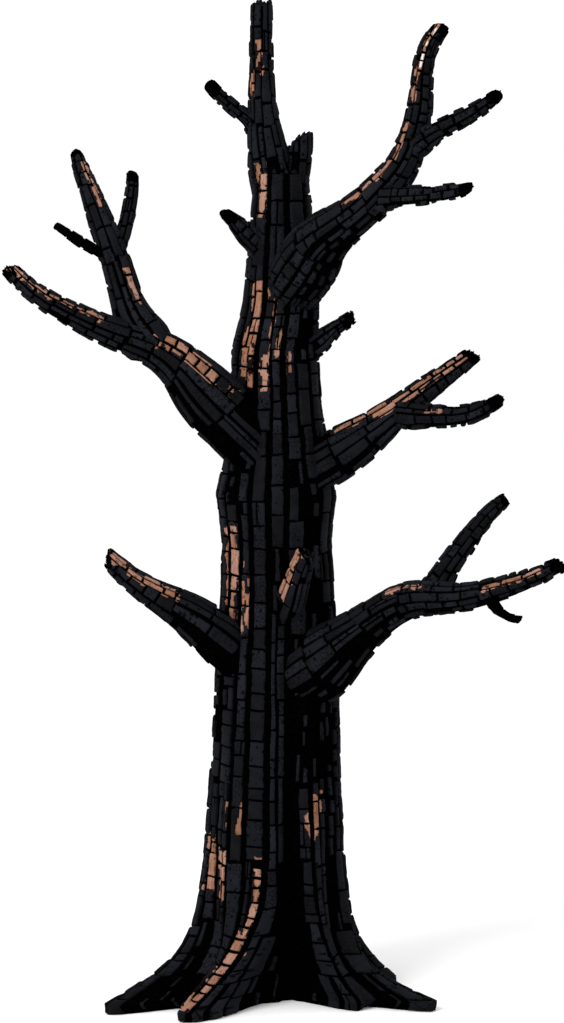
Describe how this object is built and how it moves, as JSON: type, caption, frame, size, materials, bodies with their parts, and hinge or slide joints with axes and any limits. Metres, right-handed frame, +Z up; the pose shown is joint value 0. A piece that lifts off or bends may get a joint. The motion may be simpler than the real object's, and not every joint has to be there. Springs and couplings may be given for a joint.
{
  "type": "dead tree",
  "caption": "Bare dead tree charred by fire, with a flared root base, a fluted trunk, a snapped leader and stout broken boughs.",
  "frame": {"origin": "middle of the flat cut under the trunk, at ground level", "axes": "+Z up the trunk, +X to the right and -Y towards the viewer of the pictured side"},
  "size_m": [4.4531, 3.0795, 7.9981],
  "materials": {
    "charred_bark": "charred to black and dark grey blocks, dry, with a faint sheen on the char",
    "bare_wood": "dry brown wood laid bare where the char has fallen away"
  },
  "bodies": {
    "root": {"bough_back": "charred_bark", "bough_back_fork": "charred_bark", "bough_back_low": "charred_bark", "bough_back_low_fork": "charred_bark", "bough_lower_left": "charred_bark", "bough_lower_right": "charred_bark", "bough_lower_right_fork": "charred_bark", "bough_lower_right_twig": "charred_bark", "bough_middle_left": "charred_bark", "bough_middle_left_fork": "charred_bark", "bough_middle_left_riser": "charred_bark", "bough_middle_left_twig": "charred_bark", "bough_middle_right": "charred_bark", "bough_middle_right_fork": "charred_bark", "bough_upper_right": "charred_bark", "bough_upper_right_level": "charred_bark", "bough_upper_right_outer": "charred_bark", "leader": "charred_bark", "leader_branch": "charred_bark", "snapped_fork": "charred_bark", "stub_back": "charred_bark", "stub_front": "charred_bark", "stub_left": "charred_bark", "stub_right": "charred_bark", "trunk": "charred_bark"}
  },
  "joints": []
}
